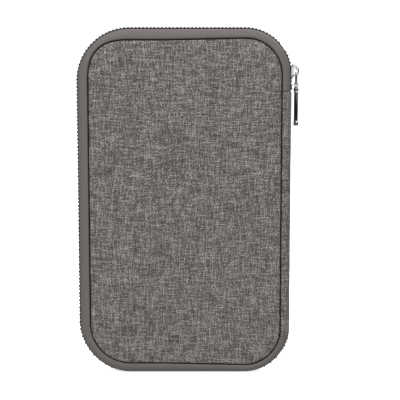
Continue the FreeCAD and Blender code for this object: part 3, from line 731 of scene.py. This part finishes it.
def edge_binding(name, side, low, high, x0, x1, z_top, material):
    """Folded binding strip round a pocket's upper edge, from low to high distance off the middle plane."""
    middle, half = (low + high) / 2, (high - low) / 2
    section = [(z_top - 4.2, low), (z_top - 0.5, low)]
    for k in range(7):
        turn = math.radians(-90 + 180 * k / 6)
        section.append((z_top + 0.1 + 0.35 * math.cos(turn), middle + half * math.sin(turn)))
    section += [(z_top - 0.5, high), (z_top - 4.2, high)]
    vertices, uvs = [], []
    count = 26
    for k in range(count + 1):
        x = x0 + (x1 - x0) * k / count
        run = 0.0
        for j, (z, y) in enumerate(section):
            if j:
                run += math.hypot(z - section[j - 1][0], y - section[j - 1][1])
            vertices.append((x, side * y, z))
            uvs.append((x, run))
    made = piece(name, vertices, grid_faces(count + 1, len(section), False), uvs, material)
    thicken(made, 0.12)
    return made


def stitches(name, side, depth, runs, material):
    """Rows of lockstitches, 2.6 mm every 3.4 mm, each a short rounded thread lying on the cloth."""
    vertices, uvs, faces = [], [], []
    for (x0, z0), (x1, z1) in runs:
        length = math.hypot(x1 - x0, z1 - z0)
        dx, dz = (x1 - x0) / length, (z1 - z0) / length
        for k in range(int(length // 3.4)):
            start = 0.4 + 3.4 * k
            base = len(vertices)
            for along, size in ((0.0, 0.25), (0.35, 1.0), (1.3, 1.0), (2.25, 1.0), (2.6, 0.25)):
                x, z = x0 + dx * (start + along), z0 + dz * (start + along)
                for turn in range(6):
                    across = 0.24 * size * math.cos(math.pi * turn / 3)
                    out = 0.16 * size * math.sin(math.pi * turn / 3)
                    vertices.append((x - dz * across, side * (depth - out), z + dx * across))
                    uvs.append((start + along, turn * 0.2))
            for ring in range(4):
                for turn in range(6):
                    after = (turn + 1) % 6
                    low_ring, high_ring = base + 6 * ring, base + 6 * ring + 6
                    faces.append((low_ring + turn, low_ring + after, high_ring + after, high_ring + turn))
            faces.append(tuple(base + turn for turn in range(6)))
            faces.append(tuple(base + 24 + turn for turn in range(6)))
    return piece(name, vertices, faces, uvs, material)


# Spun sewing thread: matt grey, lighter than the cloth it holds.
stitch_thread = plain_surface("grey_sewing_thread", "8d8884", "75706c", 0.7, scale=1500.0)
# Nylon and grosgrain: close even threads. They are drawn at 0.6 and 0.7 mm, about twice the real
# spacing, so that they can be seen.
pocket_cloth = fine_cloth("grey_pocket_nylon", "6e6a67", "55514e", 0.6)
binding_tape = fine_cloth("black_grosgrain_binding", "262422", "171615", 0.7)
# Each row: node, side, body, distance off the middle plane, left, right, low, high,
# whether its upper edge is bound, and the cloth it lies on.
pocket_rows = (
    ("document_pocket", -1, "front_cover", 5.05, -54.2, 49.8, 22.0, 192.0, True, "front_lining_cloth"),
    ("passport_pocket", -1, "front_cover", 4.55, -51.2, 46.8, 22.0, 150.0, True, "document_pocket_cloth"),
    ("ticket_pocket", 1, "back_cover", 5.05, -54.2, 49.8, 22.0, 196.0, True, "back_lining_cloth"),
    ("card_slot_1", 1, "back_cover", 4.55, -49.2, 44.8, 24.0, 125.0, False, "ticket_pocket_cloth"),
    ("card_slot_2", 1, "back_cover", 4.05, -49.2, 44.8, 24.0, 110.0, False, "card_slot_1_cloth"),
    ("card_slot_3", 1, "back_cover", 3.55, -49.2, 44.8, 24.0, 95.0, False, "card_slot_2_cloth"),
    ("card_slot_4", 1, "back_cover", 3.05, -49.2, 44.8, 24.0, 80.0, False, "card_slot_3_cloth"),
)
STITCH_IN = 1.4
for node, side, body, depth, x0, x1, z0, z1, bound, under in pocket_rows:
    cloth = pocket_front(node + "_cloth", side, depth, x0, x1, z0, z1, pocket_cloth)
    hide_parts(node)
    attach(cloth, body)
    top_run = z1 - (5.6 if bound else STITCH_IN)
    left, right, foot, head = x0 + STITCH_IN, x1 - STITCH_IN, z0 + STITCH_IN, z1 - 6
    rows = [((left, head), (left, foot)), ((left, foot), (right, foot)), ((right, foot), (right, head))]
    rows.append(((x0 + 3.0, top_run), (x1 - 3.0, top_run)))
    sewn = stitches(node + "_stitching", side, depth - 0.05, rows, stitch_thread)
    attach(sewn, body)
    if bound:
        trim = edge_binding(node + "_edge", side, depth - 0.18, depth + 0.46, x0, x1, z1, binding_tape)
        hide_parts(node + "_binding")
        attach(trim, body)

# ---------------------------------------------------------------------------
# Stage.
# A round sweep of white paper, four large soft lights, a small card whose reflection
# the slider's flat faces show, and the camera.
# ---------------------------------------------------------------------------


def sweep(name, material):
    """A round floor that curves up into a wall all the way round."""
    section = [(0.0, 0.0), (1.0, 0.0), (2.2, 0.0)]
    for k in range(1, 9):
        turn = math.radians(90 * k / 8)
        section.append((2.2 + 0.6 * math.sin(turn), 0.6 - 0.6 * math.cos(turn)))
    section.append((2.8, 3.5))
    sectors, count = 48, len(section)
    vertices = []
    for k in range(sectors):
        turn = 2 * math.pi * k / sectors
        vertices += [(1000 * r * math.cos(turn), 1000 * r * math.sin(turn), 1000 * z) for r, z in section]
    faces = []
    for k in range(sectors):
        after = (k + 1) % sectors
        for j in range(count - 1):
            faces.append((k * count + j, k * count + j + 1, after * count + j + 1, after * count + j))
    made = piece(name, vertices, faces, [(0, 0)] * len(vertices), material)
    return made


white, _, white_shader = new_material("white_paper_sweep")
white_shader.inputs["Base Color"].default_value = colour("f4f4f4")
white_shader.inputs["Roughness"].default_value = 0.9
white_shader.inputs["Emission Color"].default_value = (1, 1, 1, 1)
white_shader.inputs["Emission Strength"].default_value = 0.7
paper = sweep("white_sweep", white)
paper.visible_diffuse = False
paper.visible_glossy = False
paper.visible_shadow = False


def soft_light(name, place, aim, width, height, power):
    """A rectangular lamp, in metres and watts, turned towards aim."""
    data = bpy.data.lights.new(name, "AREA")
    data.shape = "RECTANGLE"
    data.size, data.size_y, data.energy = width, height, power
    lamp = bpy.data.objects.new(name, data)
    bpy.context.scene.collection.objects.link(lamp)
    lamp.visible_camera = False
    lamp.location = place
    lamp.rotation_euler = (Vector(aim) - Vector(place)).to_track_quat("-Z", "Y").to_euler()


soft_light("key", (-0.9, -1.3, 1.1), (0, 0, 0.12), 0.9, 0.9, 22)
soft_light("front_card", (0.19, -1.7, 0.12), (0.068, 0, 0.195), 0.3, 0.3, 0.3)
soft_light("fill", (1.0, -1.3, 0.7), (0, 0, 0.12), 0.8, 0.9, 12)
soft_light("back", (0.7, 1.5, 0.8), (0, 0, 0.12), 1.2, 1.2, 16)
soft_light("top", (0.0, 0.2, 1.6), (0, 0, 0.1), 1.4, 1.4, 6)

world = bpy.data.worlds.new("studio")
world.use_nodes = True
sky = world.node_tree
turned = add(sky, "ShaderNodeSeparateXYZ", i0=add(sky, "ShaderNodeTexCoord").outputs["Generated"])
fade = add(sky, "ShaderNodeValToRGB", Fac=calc(sky, "MULTIPLY_ADD", turned.outputs[2], 0.5, 0.5))
stops = fade.color_ramp.elements
stops[0].position, stops[0].color = 0.0, (0.5, 0.5, 0.5, 1)
stops[1].position, stops[1].color = 1.0, (0.6, 0.6, 0.6, 1)
for height, level in ((0.34, 0.4), (0.42, 0.05), (0.55, 0.05), (0.7, 0.3)):
    stops.new(height).color = (level, level, level, 1)
sky.links.new(fade.outputs[0], sky.nodes["Background"].inputs[0])
sky.nodes["Background"].inputs[1].default_value = 1.0
bpy.context.scene.world = world
bpy.context.scene.view_settings.view_transform = "Standard"

camera_data = bpy.data.cameras.new("camera")
camera = bpy.data.objects.new("camera", camera_data)
bpy.context.scene.collection.objects.link(camera)
camera_data.lens = 112.5
camera_data.sensor_width = 36
camera_data.shift_y = -0.011
camera.location = (0.0081, -0.819, 0.2287)
camera.rotation_euler = (math.radians(90 - 7.67), 0, 0)
bpy.context.scene.camera = camera
